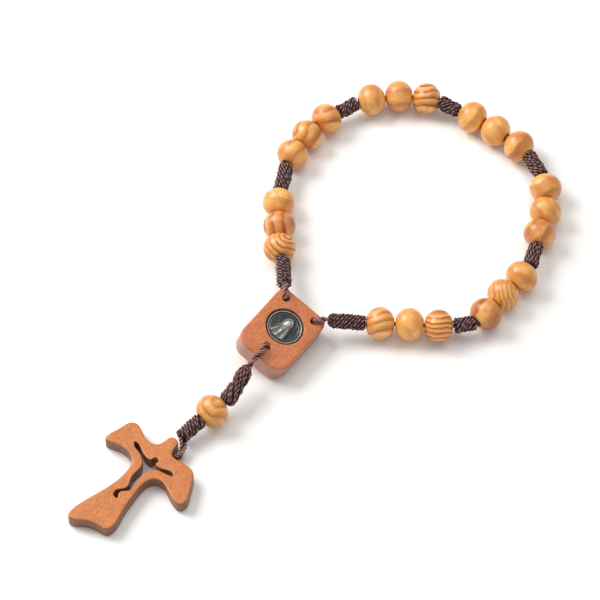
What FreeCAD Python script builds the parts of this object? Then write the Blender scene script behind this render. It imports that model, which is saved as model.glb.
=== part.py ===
# A small devotional rosary, laid out flat: a loop of 21 wooden beads in seven groups of three,
# strung on a knotted cord, a drilled wooden block with a medal, and a pendant with one more bead
# and a flat wooden cross. Millimetres, +Z up, the surface it lies on is z = 0.
import FreeCAD, Part
import math
import os
from FreeCAD import Placement, Rotation, Vector

doc = FreeCAD.newDocument("Rosary")
sheet = doc.addObject("Spreadsheet::Sheet", "Dimensions")
sheet.Label = "Dimensions"

DIMENSIONS = {
    "bead_radius": 4.0,           # across the hole
    "bead_axial_radius": 3.62,    # along the hole, before the hole is drilled
    "bead_hole_radius": 1.1,
    "cord_radius": 0.6,           # the carrying cord inside beads and knots
    "cord_gap": 0.35,             # left free on each side of a flexing point
    "loop_end_gap": 0.84,         # the same before the loop's last knot
    "pendant_tip_gap": 0.455,     # and before the pendant's first knot
    "end_setback": 1.0,           # how far inside a knot a length of cord starts or stops
    "knot_setback": 0.65,         # from a knot's end to where the cord turns away from it
    "knot_radius": 1.9,
    "long_knot_radius": 2.0,
    "knot_end_fillet": 1.05,
    "knot_bore_radius": 0.82,
    "knot_play": 0.18,            # between a knot's end and the flexing point or bead beside it
    "lobe_overlap": 1.6,          # of the long knot's two lobes
    "block_width": 14.15,
    "block_length": 18.9,
    "block_thickness": 6.15,
    "block_loop_corner": 2.0,     # corner radius at the two loop holes
    "block_pendant_corner": 3.4,  # corner radius at the pendant's end
    "block_edge_fillet": 0.4,
    "block_roll": 16.85,          # degrees: the block leans over its stopper knot
    "block_heading": -37.15,      # degrees: direction of the block's width in plan
    "cord_hole_radius": 0.92,
    "loop_hole_side": 4.4,        # the loop holes' distance from the block's long axis
    "loop_hole_along": 7.3,       # and from its middle, towards the loop
    "pendant_hole_along": 5.85,   # from the middle, towards the pendant
    "recess_radius": 4.68,
    "recess_depth": 1.45,
    "recess_along": 1.2,          # the medal's centre, towards the loop
    "medal_radius": 4.45,
    "medal_thickness": 1.0,
    "medal_rim_width": 0.4,
    "medal_rim_depth": 0.25,
    "relief_radius": 2.1,
    "relief_rise": 0.35,
    "relief_slope": 0.4,          # how far the relief's edge slopes
    "rim_slope": 0.1,
    "channel_width": 1.5,         # grooves under the block for the cord
    "channel_depth": 1.15,
    "stopper_side": 3.2,          # the stopper knot's distance from the long axis
    "stopper_radius": 2.3,
    "stopper_half_height": 1.85,
    "stopper_pocket_radius": 2.7,
    "stopper_pocket_depth": 1.3,
    "stopper_gap": 0.1,           # between the stopper knot and the cords that end at it
    "back_cord_radius": 0.45,
    "back_cord_play": 0.22,       # between the cord and its groove's ceiling
    "loop_eye_radius": 0.62,
    "pendant_eye_radius": 0.82,
    "eye_depth": 2.0,             # how far each eye reaches down its hole
    "left_eye_rise": 0.75,        # how far each eye stands up from the face
    "right_eye_rise": 0.8,
    "pendant_eye_rise": 1.05,
    "cross_thickness": 3.7,
    "cross_heading": -41.1,       # degrees: turns the stem from +Y to where it points
    "cross_hole_radius": 0.85,
    "cross_hole_along": 26.3,     # from the foot's middle to the sideways hole
    "cross_eye_radius": 0.72,
}


used_rows = []


def write_cells(values):
    for alias, value in values.items():
        used_rows.append(alias)
        row = len(used_rows)
        sheet.set(f"A{row}", alias)
        sheet.set(f"B{row}", f"{value:.4f}")
        sheet.setAlias(f"B{row}", alias)
    doc.recompute()


write_cells(DIMENSIONS)


def size(alias):
    return float(sheet.get(alias))


def bind(feature, **cells):
    """Bind each property of a feature to a cell, or to an expression of cells."""
    for prop, expression in cells.items():
        feature.setExpression(prop.replace("__", "."), expression)


# ---------------------------------------------------------------- places

FACE_CENTRE = Vector(-10.4, -13.0, 0)   # of the block, in plan
BLOCK_TURN = Rotation(size("block_heading"), size("block_roll"), 0)
lean = math.radians(size("block_roll"))
edge_rise = size("block_edge_fillet") * (math.cos(lean) + math.sin(lean) - 1)
FACE_CENTRE.z = (size("block_thickness") * math.cos(lean)
                 + size("block_width") / 2 * math.sin(lean) - edge_rise)


def on_block(x, y, z):
    """A point given across, along and above the block's face, in the row's frame."""
    return FACE_CENTRE + BLOCK_TURN.multVec(Vector(x, y, z))


# The loop cord's route, group by group: the flexing point after the last knot, the three beads'
# centres, and the near end of the next knot. Each knot runs on to the next flexing point.
LOOP_ROUTE = [
    [(-10.3, 9.8, 4.9), (-11.1, 13.5, 4.4), (-11.2, 20.5, 4.0), (-11.4, 27.6, 4.0), (-11.1, 31.4, 4.0)],
    [(-9.5, 39.1, 4.0), (-7.9, 42.6, 4.0), (-4.3, 48.7, 4.0), (0.6, 53.9, 4.0), (3.7, 56.1, 4.0)],
    [(8.4, 59.2, 4.0), (12.1, 60.1, 4.0), (19.1, 61.3, 4.0), (26.1, 60.5, 4.0), (29.7, 59.4, 4.0)],
    [(34.3, 56.4, 4.0), (37.6, 54.5, 4.0), (43.3, 50.1, 4.0), (49.0, 45.2, 4.0), (51.4, 42.2, 4.0)],
    [(54.4, 35.7, 4.0), (55.05, 32.0, 4.0), (54.7, 24.8, 4.0), (52.9, 18.0, 4.0), (52.0, 14.3, 4.0)],
    [(50.1, 8.2, 4.0), (47.9, 5.1, 4.0), (43.2, -0.2, 4.0), (38.8, -5.8, 4.0), (35.65, -8.55, 4.0)],
    [(31.1, -9.5, 4.0), (27.3, -9.3, 4.0), (20.3, -8.9, 4.0), (13.2, -8.6, 4.0), (9.4, -8.7, 4.3)],
]
LOOP_START = (-9.95, 0.2, 6.4)   # the first knot's end beside the block
LOOP_END = (0.5, -9.1, 6.2)      # the last knot's end beside the block

# Where the cord bends over the block's edges on its way out, from the face's centre.
LEFT_BEND = (-6.2, 9.1, 0.85)
LEFT_DROP = (-7.2, 10.6, -1.2)   # and where it turns up again to the first knot
RIGHT_BEND = (5.8, 8.7, 0.85)
PENDANT_BEND = (-0.05, -9.3, 1.1)

PENDANT_ROUTE = [(-18.3, -22.5, 6.5), (-23.5, -31.3, 4.2), (-26.9, -33.55, 4.0), (-29.7, -36.2, 3.9),
                 (-34.25, -40.4, 3.0)]
CROSS_FOOT = Vector(-55.1, -63.7, 0)
CROSS_TURN = Rotation(size("cross_heading"), 0, 0)


def on_cross(x, y, z):
    return CROSS_FOOT + CROSS_TURN.multVec(Vector(x, y, z))


def along(direction):
    """The rotation that turns +Z to a direction."""
    return Rotation(Vector(0, 0, 1), direction)


# ---------------------------------------------------------------- cords

def step_from(start, towards, distance):
    start, towards = Vector(*start), Vector(*towards)
    return start + (towards - start).normalize() * distance


def cord_wire(points):
    """Straight runs joined by tangent arcs, each as large as its two runs allow."""
    points = [Vector(*p) for p in points]
    edges, start = [], points[0]
    for before, corner, after in zip(points, points[1:], points[2:]):
        come, go = (corner - before), (after - corner)
        half = come.getAngle(go) / 2
        reach = 0.45 * min(come.Length, go.Length)
        come.normalize()
        go.normalize()
        entry, leave = corner - come * reach, corner + go * reach
        middle = (entry + leave) / 2 - corner
        radius = reach / math.tan(half)
        sag = reach / math.sin(half) - radius
        top = corner + middle.normalize() * sag
        edges.append(Part.LineSegment(start, entry).toShape())
        edges.append(Part.Arc(entry, top, leave).toShape())
        start = leave
    edges.append(Part.LineSegment(start, points[-1]).toShape())
    return Part.Wire(edges)


def cord(name, points, radius_cell):
    """A cord's plain tube along a route."""
    radius = size(radius_cell)
    wire = cord_wire(points)
    direction = Vector(*points[1]) - Vector(*points[0])
    section = Part.Wire(Part.makeCircle(radius, Vector(*points[0]), direction))
    tube = wire.makePipeShell([section], True, False)
    wanted = math.pi * radius ** 2 * wire.Length
    assert abs(tube.Volume - wanted) < 0.03 * wanted, (name, tube.Volume, wanted)
    feature = doc.addObject("Part::Feature", name)
    feature.Shape = tube
    feature.Label = name
    return feature


# ---------------------------------------------------------------- beads and knots

def bead(name, before, centre, after):
    """A turned bead, shorter along its hole than across."""
    blank = doc.addObject("Part::Ellipsoid", name + "_blank")
    bind(blank, Radius1="Dimensions.bead_axial_radius", Radius2="Dimensions.bead_radius")
    drill = doc.addObject("Part::Cylinder", name + "_drill")
    bind(drill, Radius="Dimensions.bead_hole_radius", Height="4 * Dimensions.bead_radius",
         Placement__Base__z="-2 * Dimensions.bead_radius")
    bored = doc.addObject("Part::Cut", name)
    bored.Base, bored.Tool = blank, drill
    bored.Label = name
    bored.Placement = Placement(Vector(*centre), along(Vector(*after) - Vector(*before)))
    return bored


def with_play(start, end):
    """A knot's two ends, each drawn back a little."""
    return step_from(start, end, size("knot_play")), step_from(end, start, size("knot_play"))


def round_ended(name, radius_cell, length_cell):
    """A barrel whose two ends are rounded over."""
    barrel = doc.addObject("Part::Cylinder", name + "_barrel")
    bind(barrel, Radius="Dimensions." + radius_cell, Height="Dimensions." + length_cell)
    doc.recompute()
    rims = [i for i, edge in enumerate(barrel.Shape.Edges, start=1) if isinstance(edge.Curve, Part.Circle)]
    ends = doc.addObject("Part::Fillet", name + "_ends")
    ends.Base = barrel
    ends.Edges = [(i, size("knot_end_fillet"), size("knot_end_fillet")) for i in rims]
    return ends


def bored(name, solid, start, end):
    """The solid with the cord's bore along it, laid from start to end."""
    bore = doc.addObject("Part::Cylinder", name + "_bore")
    bind(bore, Radius="Dimensions.knot_bore_radius", Height=f"2 * Dimensions.{name}_length",
         Placement__Base__z=f"-0.5 * Dimensions.{name}_length")
    wrap = doc.addObject("Part::Cut", name)
    wrap.Base, wrap.Tool = solid, bore
    wrap.Label = name
    wrap.Placement = Placement(start, along(end - start))
    return wrap


def knot(name, start, end):
    """A wrapped knot: a round-ended barrel with the cord's bore along it."""
    start, end = with_play(start, end)
    write_cells({name + "_length": (end - start).Length})
    return bored(name, round_ended(name, "knot_radius", name + "_length"), start, end)


def long_knot(name, start, end):
    """The pendant's upper knot: two lobes with a waist between them, and the cord's bore."""
    start, end = with_play(start, end)
    length = (end - start).Length
    lobe_cell = name + "_lobe"
    write_cells({name + "_length": length, lobe_cell: (length + size("lobe_overlap")) / 2})
    upper = round_ended(name + "_upper", "long_knot_radius", lobe_cell)
    lower = round_ended(name + "_lower", "long_knot_radius", lobe_cell)
    bind(lower, Placement__Base__z=f"Dimensions.{lobe_cell} - Dimensions.lobe_overlap")
    both = doc.addObject("Part::Fuse", name + "_lobes")
    both.Base, both.Tool = upper, lower
    return bored(name, both, start, end)


# ---------------------------------------------------------------- the block

def plane(body, role):
    return next(f for f in body.Origin.OriginFeatures if f.Role == role)


def sketch_on(body, name, role="XY_Plane"):
    sketch = body.newObject("Sketcher::SketchObject", name)
    sketch.AttachmentSupport = (plane(body, role), [""])
    sketch.MapMode = "FlatFace"
    return sketch


def rounded_corner(corner, before, after, radius):
    """The arc that rounds one corner of a rectangle, from the side before to the side after."""
    corner, before, after = Vector(*corner), Vector(*before), Vector(*after)
    come, go = (before - corner).normalize(), (after - corner).normalize()
    centre = corner + (come + go) * radius
    top = centre + (corner - centre).normalize() * radius
    return Part.Arc(corner + come * radius, top, corner + go * radius)


def block_outline():
    """The block's face, anticlockwise, with two tighter corners at the loop's end."""
    w, l = size("block_width") / 2, size("block_length") / 2
    tight, round_ = size("block_loop_corner"), size("block_pendant_corner")
    corners = [((w, l, 0), tight), ((-w, l, 0), tight), ((-w, -l, 0), round_), ((w, -l, 0), round_)]
    arcs = [rounded_corner(corners[i][0], corners[i - 1][0], corners[(i + 1) % 4][0], corners[i][1])
            for i in range(4)]
    parts = []
    for arc, following in zip(arcs, arcs[1:] + arcs[:1]):
        parts.append(arc)
        parts.append(Part.LineSegment(arc.EndPoint, following.StartPoint))
    return parts


def pocket(body, name, circles, depth, upward=False):
    """Round pockets sunk from the face, or from the underside when upward."""
    sketch = sketch_on(body, name + "_sketch")
    for i, (x, y, radius_cell) in enumerate(circles):
        sketch.addGeometry(Part.Circle(Vector(x, y, 0), Vector(0, 0, 1), size(radius_cell)), False)
    if upward:
        bind(sketch, AttachmentOffset__Base__z="-Dimensions.block_thickness")
    cut = body.newObject("PartDesign::Pocket", name)
    cut.Profile = sketch
    cut.Reversed = upward
    if depth == "through":
        cut.Type = "ThroughAll"
    else:
        bind(cut, Length="Dimensions." + depth)
    doc.recompute()
    return cut


def channel(body, name, x, y):
    """A groove under the block, from a hole at x, y to the stopper knot's pocket."""
    start, end = Vector(x, y, 0), Vector(-size("stopper_side"), 0, 0)
    side = (end - start).cross(Vector(0, 0, 1)).normalize() * (size("channel_width") / 2)
    corners = [start + side, end + side, end - side, start - side]
    sketch = sketch_on(body, name + "_sketch")
    bind(sketch, AttachmentOffset__Base__z="-Dimensions.block_thickness")
    for a, b in zip(corners, corners[1:] + corners[:1]):
        sketch.addGeometry(Part.LineSegment(a, b), False)
    cut = body.newObject("PartDesign::Pocket", name)
    cut.Profile = sketch
    cut.Reversed = True
    bind(cut, Length="Dimensions.channel_depth")
    doc.recompute()
    return cut


HOLES = {
    "left": (-size("loop_hole_side"), size("loop_hole_along")),
    "right": (size("loop_hole_side"), size("loop_hole_along")),
    "pendant": (0.0, -size("pendant_hole_along")),
}


def centre_block():
    """The drilled wooden block: its face is the body's z = 0, its thickness goes down."""
    body = doc.addObject("PartDesign::Body", "centre_block")
    outline = sketch_on(body, "block_outline")
    for part in block_outline():
        outline.addGeometry(part, False)
    pad = body.newObject("PartDesign::Pad", "block_pad")
    pad.Profile = outline
    pad.Reversed = True
    bind(pad, Length="Dimensions.block_thickness")
    doc.recompute()
    flat = [f"Edge{i}" for i, e in enumerate(pad.Shape.Edges, start=1) if e.BoundBox.ZLength < 1e-6]
    soft = body.newObject("PartDesign::Fillet", "block_edges")
    soft.Base = (pad, flat)
    bind(soft, Radius="Dimensions.block_edge_fillet")
    doc.recompute()
    pocket(body, "medal_recess", [(0, size("recess_along"), "recess_radius")], "recess_depth")
    pocket(body, "cord_holes", [(x, y, "cord_hole_radius") for x, y in HOLES.values()], "through")
    pocket(body, "stopper_pocket", [(-size("stopper_side"), 0, "stopper_pocket_radius")],
           "stopper_pocket_depth", upward=True)
    for name, (x, y) in HOLES.items():
        channel(body, name + "_channel", x, y)
    body.Label = "centre_block"
    body.Placement = Placement(FACE_CENTRE, BLOCK_TURN)
    return body


def medal():
    """A cast disc with a raised rim and a low relief."""
    body = doc.addObject("PartDesign::Body", "medal")
    profile = sketch_on(body, "medal_profile", "XZ_Plane")
    r, t = size("medal_radius"), size("medal_thickness")
    floor = t - size("medal_rim_depth")
    rim, relief = r - size("medal_rim_width"), size("relief_radius")
    top = floor + size("relief_rise")
    points = [(0, 0), (r, 0), (r, t), (rim, t), (rim - size("rim_slope"), floor), (relief, floor),
              (relief - size("relief_slope"), top), (0, top)]
    corners = [Vector(x, z, 0) for x, z in points]
    for a, b in zip(corners, corners[1:] + corners[:1]):
        profile.addGeometry(Part.LineSegment(a, b), False)
    disc = body.newObject("PartDesign::Revolution", "medal_disc")
    disc.Profile = profile
    disc.ReferenceAxis = (profile, ["V_Axis"])
    disc.Angle = 360
    body.Label = "medal"
    seat = on_block(0, size("recess_along"), -size("recess_depth"))
    body.Placement = Placement(seat, BLOCK_TURN)
    return body


def stopper_knot():
    """The knot under the block that the three eyes are tied to, and that the block leans on."""
    knot_under = doc.addObject("Part::Ellipsoid", "stopper_knot")
    knot_under.Angle1, knot_under.Angle2, knot_under.Angle3 = -90, 90, 360
    bind(knot_under, Radius1="Dimensions.stopper_half_height", Radius2="Dimensions.stopper_radius")
    knot_under.Label = "stopper_knot"
    under = on_block(-size("stopper_side"), 0, -size("block_thickness"))
    knot_under.Placement = Placement(Vector(under.x, under.y, size("stopper_half_height")), Rotation())
    return knot_under


def back_cord(name, x, y):
    """One run of cord: down a hole from its eye, then along its groove to the stopper knot."""
    deep = size("block_thickness") - size("channel_depth") + size("back_cord_radius") + size("back_cord_play")
    to_knot = Vector(-size("stopper_side") - x, -y, 0)
    short = to_knot.Length - size("stopper_radius") - size("stopper_gap")
    to_knot.normalize()
    points = [on_block(x, y, -size("eye_depth")), on_block(x, y, -deep),
              on_block(x + to_knot.x * short, y + to_knot.y * short, -deep)]
    return cord(name, points, "back_cord_radius")


# ---------------------------------------------------------------- the cross

# The cross's outline, from the top of the stub clockwise, with the foot's middle at 0, 0.
CROSS_OUTLINE = [
    (0.0, 30.2), (1.3, 29.5), (1.6, 28.0), (2.3, 26.4), (4.4, 26.2), (7.4, 26.5), (9.2, 26.1),
    (10.5, 24.7), (12.2, 21.7), (13.3, 19.0), (12.7, 17.5), (11.0, 17.4), (7.6, 18.7), (5.0, 19.3),
    (3.3, 18.4), (2.6, 15.8), (3.1, 12.0), (4.1, 7.2), (5.0, 3.4), (4.5, 1.7), (2.4, 1.1),
    (-1.0, 0.0), (-3.1, -1.5), (-4.6, -1.7), (-5.2, -0.2), (-5.0, 2.4), (-4.0, 6.6), (-2.8, 11.9),
    (-2.7, 15.8), (-3.4, 18.5), (-5.2, 19.9), (-8.3, 20.2), (-11.0, 19.4), (-12.5, 19.2), (-12.8, 20.6),
    (-12.0, 23.6), (-11.4, 26.1), (-10.2, 27.2), (-8.6, 27.1), (-5.9, 25.9), (-3.6, 25.6), (-2.1, 26.4),
    (-1.6, 28.0), (-1.3, 29.5),
]

# The cut-out figure, from the left hand along the top of the arms, clockwise.
FIGURE_OUTLINE = [
    (-6.7, 23.3), (-6.1, 23.4), (-3.8, 22.5), (-1.4, 21.8), (-0.5, 22.0), (-0.3, 22.9), (0.5, 23.3),
    (1.2, 22.8), (1.1, 21.9), (1.9, 21.7), (4.0, 22.3), (5.9, 22.6), (6.4, 22.2), (5.8, 21.8), (4.2, 21.4),
    (2.1, 20.7), (1.3, 19.7), (1.0, 17.6), (0.9, 15.6), (1.5, 13.6), (1.3, 12.6), (0.1, 11.3),
    (0.3, 10.0), (0.7, 9.4), (0.1, 9.2), (-0.8, 9.7), (-1.0, 10.6), (0.2, 12.4), (0.3, 13.6), (-0.6, 15.4),
    (-0.8, 17.6), (-1.1, 19.7), (-2.2, 20.9), (-4.4, 21.9), (-6.4, 22.7),
]


def closed_curve(points):
    curve = Part.BSplineCurve()
    curve.interpolate([Vector(x, y, 0) for x, y in points], PeriodicFlag=True)
    return curve


def cross():
    """The flat cross: back on z = 0, foot at the bottom of +Y, with a cut-out figure."""
    body = doc.addObject("PartDesign::Body", "cross")
    outline = sketch_on(body, "cross_outline")
    outline.addGeometry(closed_curve(CROSS_OUTLINE), False)
    pad = body.newObject("PartDesign::Pad", "cross_pad")
    pad.Profile = outline
    bind(pad, Length="Dimensions.cross_thickness")
    doc.recompute()
    figure = sketch_on(body, "figure_outline")
    figure.addGeometry(closed_curve(FIGURE_OUTLINE), False)
    cut = body.newObject("PartDesign::Pocket", "figure_cut")
    cut.Profile = figure
    cut.Reversed = True
    cut.Type = "ThroughAll"
    doc.recompute()
    hole_sketch = sketch_on(body, "cord_hole_sketch", "YZ_Plane")
    middle = Vector(size("cross_hole_along"), size("cross_thickness") / 2, 0)
    hole_sketch.addGeometry(Part.Circle(middle, Vector(0, 0, 1), size("cross_hole_radius")), False)
    hole = body.newObject("PartDesign::Pocket", "cord_hole")
    hole.Profile = hole_sketch
    hole.Type = "ThroughAll"
    hole.Midplane = True
    body.Label = "cross"
    body.Placement = Placement(CROSS_FOOT, CROSS_TURN)
    return body


# The doubled cord's way round the stub and into its sideways hole, as the cross's own coordinates.
CROSS_EYE_ROUTE = [(2.1, 30.8, 2.4), (3.1, 28.9, 1.95), (3.3, 27.3, 1.9), (2.2, 26.35, 1.85), (-0.6, 26.3, 1.85)]


def cross_eye():
    """The doubled cord from the last knot, down the stub's right side and into its hole."""
    collar, end = PENDANT_ROUTE[-2:]
    in_knot = step_from(end, collar, 1.5 * size("end_setback"))
    return cord("cross_eye", [in_knot, end] + [on_cross(*p) for p in CROSS_EYE_ROUTE], "cross_eye_radius")


# ---------------------------------------------------------------- assembly

def loop():
    """Eight knots and seven lengths of cord, each through three beads and the knot after them."""
    pieces = [knot("loop_knot_1", LOOP_START, LOOP_ROUTE[0][0])]
    ends = [group[0] for group in LOOP_ROUTE[1:]] + [LOOP_END]
    for number, (group, far_end) in enumerate(zip(LOOP_ROUTE, ends), start=1):
        first = step_from(group[0], group[1], size("cord_gap"))
        last = far_end if number < len(LOOP_ROUTE) else step_from(far_end, group[4], size("end_setback"))
        pieces.append(cord(f"loop_cord_{number}", [first, *group[1:], last], "cord_radius"))
        for place in (1, 2, 3):
            name = f"loop_bead_{3 * number - 3 + place:02d}"
            pieces.append(bead(name, group[place - 1], group[place], group[place + 1]))
        pieces.append(knot(f"loop_knot_{number + 1}", group[4], far_end))
    return pieces


def eyes():
    """The eyes that come up out of the block's holes, and the necks that go on from them over its edges."""
    inside = -size("eye_depth")
    left, right, pendant = HOLES["left"], HOLES["right"], HOLES["pendant"]
    gap = size("cord_gap")
    left_rise = on_block(*left, size("left_eye_rise"))
    left_bend, left_drop = on_block(*LEFT_BEND), on_block(*LEFT_DROP)
    above_knot = step_from(LOOP_START, LOOP_ROUTE[0][0], -size("knot_setback"))
    into_knot = step_from(LOOP_START, LOOP_ROUTE[0][0], size("end_setback"))
    right_bend = on_block(*RIGHT_BEND)
    pendant_rise, pendant_bend = on_block(*pendant, size("pendant_eye_rise")), on_block(*PENDANT_BEND)
    tip = PENDANT_ROUTE[0]
    return [
        cord("left_loop_eye", [on_block(*left, inside), left_rise, step_from(left_bend, left_rise, gap)],
             "loop_eye_radius"),
        cord("left_loop_neck", [step_from(left_bend, left_drop, gap), left_drop, above_knot, into_knot],
             "loop_eye_radius"),
        cord("right_loop_eye", [on_block(*right, inside), on_block(*right, size("right_eye_rise")), right_bend,
                                step_from(LOOP_END, right_bend, size("loop_end_gap"))], "loop_eye_radius"),
        cord("pendant_eye", [on_block(*pendant, inside), pendant_rise,
                             step_from(pendant_bend, pendant_rise, gap)], "pendant_eye_radius"),
        cord("pendant_neck", [step_from(pendant_bend, tip, gap),
                              step_from(tip, pendant_bend, size("pendant_tip_gap"))], "pendant_eye_radius"),
    ]


def pendant():
    """The long knot, the single bead, the short knot, the cord through them and the cross."""
    tip, neck, middle, collar, end = PENDANT_ROUTE
    first = step_from(neck, middle, size("cord_gap"))
    last = step_from(end, collar, 2 * size("end_setback"))
    return [
        long_knot("pendant_upper_knot", tip, neck),
        cord("pendant_cord", [first, middle, collar, last], "cord_radius"),
        bead("pendant_bead", neck, middle, collar),
        knot("pendant_lower_knot", collar, step_from(end, collar, size("knot_setback"))),
        cross_eye(),
        cross(),
    ]


pieces = [centre_block(), medal(), stopper_knot()]
pieces += [back_cord(name + "_back_cord", x, y) for name, (x, y) in HOLES.items()]
pieces += eyes()
pieces += loop()
pieces += pendant()
doc.recompute()

for item in doc.Objects:
    assert not {"Invalid", "Error"} & set(item.State), (item.Name, item.State, item.getStatusString())
for piece in pieces:
    assert not piece.Shape.isNull() and piece.Shape.isValid(), piece.Label

os.makedirs("parts", exist_ok=True)
for piece in pieces:
    piece.Shape.exportStep(os.path.join("parts", piece.Label + ".step"))
print(len(pieces), "nodes")
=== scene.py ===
import math
import random

import bmesh
import bpy
from mathutils import Matrix, Vector


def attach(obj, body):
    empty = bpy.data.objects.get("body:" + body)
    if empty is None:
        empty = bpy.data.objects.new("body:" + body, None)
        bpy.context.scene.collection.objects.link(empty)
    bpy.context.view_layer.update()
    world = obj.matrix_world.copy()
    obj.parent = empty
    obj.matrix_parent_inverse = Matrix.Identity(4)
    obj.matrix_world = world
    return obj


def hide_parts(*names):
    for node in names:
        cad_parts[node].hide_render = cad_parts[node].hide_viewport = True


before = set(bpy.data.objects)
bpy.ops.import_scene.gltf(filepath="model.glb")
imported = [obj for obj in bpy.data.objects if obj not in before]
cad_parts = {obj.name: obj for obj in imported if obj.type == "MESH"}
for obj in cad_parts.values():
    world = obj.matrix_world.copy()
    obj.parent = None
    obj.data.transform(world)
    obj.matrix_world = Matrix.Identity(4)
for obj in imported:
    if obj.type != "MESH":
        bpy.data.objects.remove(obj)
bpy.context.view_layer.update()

MM = 0.001
random.seed(7)


def mm(*values):
    """A place or a way given in millimetres."""
    return Vector(values) * MM


# ---------------------------------------------------------------- camera, light and floor

ELEVATION = math.radians(55.5)
DISTANCE = 0.70
LENS_PER_SENSOR = 4.812          # focal length over sensor width: a long product lens
LOOKS_AT = mm(-6.1, -1.75, 4.0)
SENSOR = 36                      # the sensor's width in mm

# The view's own right and up, and the way from the object to the viewer.
RIGHT = Vector((1, 0, 0))
UP = Vector((0, math.sin(ELEVATION), math.cos(ELEVATION)))
TO_VIEWER = Vector((0, -math.cos(ELEVATION), math.sin(ELEVATION)))


def aim(obj, place, target):
    """Put a camera or a light at a place, looking at a target."""
    obj.location = place
    obj.rotation_euler = (target - place).to_track_quat("-Z", "Y").to_euler()
    bpy.context.scene.collection.objects.link(obj)


def make_camera():
    data = bpy.data.cameras.new("product_camera")
    data.sensor_width = SENSOR
    data.lens = SENSOR * LENS_PER_SENSOR
    data.clip_start, data.clip_end = 0.05, 10
    camera = bpy.data.objects.new("product_camera", data)
    aim(camera, LOOKS_AT + TO_VIEWER * DISTANCE, LOOKS_AT)
    bpy.context.scene.camera = camera


def softbox(name, place, size, power, colour=(1, 1, 1)):
    data = bpy.data.lights.new(name, "AREA")
    data.shape = "RECTANGLE"
    data.size, data.size_y = size
    data.energy = power
    data.color = colour
    aim(bpy.data.objects.new(name, data), Vector(place), Vector((0, 0, 0)))


def make_lights():
    softbox("key", place=(-0.46, 0.26, 0.50), size=(0.42, 0.42), power=5.1, colour=(1.0, 0.99, 0.975))
    softbox("overhead", place=(0.15, 0.25, 0.9), size=(0.7, 0.5), power=2.3)
    softbox("front_fill", place=(0.1, -0.8, 0.6), size=(0.6, 0.5), power=0.5, colour=(1.0, 0.97, 0.94))
    world = bpy.data.worlds.new("studio")
    world.use_nodes = True
    background = world.node_tree.nodes["Background"]
    background.inputs["Color"].default_value = (1, 0.985, 0.965, 1)
    background.inputs["Strength"].default_value = 0.48
    bpy.context.scene.world = world
    bpy.context.scene.view_settings.view_transform = "Standard"


def make_floor():
    mesh = bpy.data.meshes.new("floor")
    side, level = 1.5, -0.00003      # level: a hair below the cross's back
    corners = [(-side, -side, level), (side, -side, level), (side, side, level), (-side, side, level)]
    mesh.from_pydata(corners, [], [(0, 1, 2, 3)])
    floor = bpy.data.objects.new("floor", mesh)
    bpy.context.scene.collection.objects.link(floor)
    paint = bpy.data.materials.new("floor_paper")
    paint.use_nodes = True
    shader = paint.node_tree.nodes["Principled BSDF"]
    shader.inputs["Base Color"].default_value = (0.93, 0.925, 0.915, 1)
    shader.inputs["Roughness"].default_value = 0.6
    shader.inputs["Specular IOR Level"].default_value = 0.2
    mesh.materials.append(paint)


# ---------------------------------------------------------------- materials

class Nodes:
    """A material's node tree, with a short way to add nodes and links."""

    def __init__(self, name):
        self.material = bpy.data.materials.new(name)
        self.material.use_nodes = True
        self.tree = self.material.node_tree
        self.shader = self.tree.nodes["Principled BSDF"]

    def add(self, kind, values=(), **settings):
        node = self.tree.nodes.new("ShaderNode" + kind)
        for name, value in settings.items():
            setattr(node, name, value)
        for socket, value in dict(values).items():
            if isinstance(value, bpy.types.NodeSocket):
                self.tree.links.new(value, node.inputs[socket])
            else:
                node.inputs[socket].default_value = value
        return node

    def ramp(self, factor, stops, interpolation="LINEAR"):
        node = self.add("ValToRGB", {"Fac": factor})
        node.color_ramp.interpolation = interpolation
        elements = node.color_ramp.elements
        while len(elements) < len(stops):
            elements.new(0.5)
        for element, (place, colour) in zip(elements, stops):
            element.position = place
            element.color = (*colour, 1)
        return node.outputs["Color"]

    def mix(self, factor, first, second, blend="MIX"):
        node = self.add("Mix", data_type="RGBA", blend_type=blend)
        for socket, value in ((0, factor), (6, first), (7, second)):
            if isinstance(value, bpy.types.NodeSocket):
                self.tree.links.new(value, node.inputs[socket])
            else:
                node.inputs[socket].default_value = value
        return node.outputs[2]

    def set(self, **values):
        for name, value in values.items():
            socket = self.shader.inputs[name.replace("_", " ")]
            if isinstance(value, bpy.types.NodeSocket):
                self.tree.links.new(value, socket)
            else:
                socket.default_value = value

    def bump(self, height, strength, distance):
        node = self.add("Bump", {"Height": height, "Strength": strength, "Distance": distance})
        self.tree.links.new(node.outputs["Normal"], self.shader.inputs["Normal"])


def wood_space(nodes, across, distance, lie_angle):
    """Object coordinates in millimetres, turned so that the growth rings lie round Z.

    The pith is `distance` mm away against `across`, and `lie_angle` turns it from flat towards the viewer."""
    away = Vector(across).normalized()
    lie = Matrix.Rotation(math.radians(-lie_angle), 3, away) @ away.cross(TO_VIEWER).normalized()
    turn = Matrix((away, lie.cross(away), lie))
    place = nodes.add("TexCoord").outputs["Object"]
    scaled = nodes.add("VectorMath", {0: place, "Scale": 1000.0}, operation="SCALE").outputs[0]
    parts = []
    for row in turn:
        dot = nodes.add("VectorMath", {0: scaled, 1: tuple(row)}, operation="DOT_PRODUCT")
        parts.append(dot.outputs["Value"])
    from_pith = nodes.add("Math", {0: parts[0], 1: distance}, operation="ADD").outputs[0]
    return nodes.add("CombineXYZ", {0: from_pith, 1: parts[1], 2: parts[2]}).outputs[0]


# Varnished pine: its early wood between HONEY and PALE, its late wood between ORANGE and RED_BROWN.
HONEY = (0.82, 0.365, 0.076)
PALE = (0.95, 0.555, 0.172)
ORANGE = (0.58, 0.175, 0.027)
RED_BROWN = (0.34, 0.076, 0.010)
RING_SCALE = math.tau / 20       # the wave texture's scale for rings 1 mm apart


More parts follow.
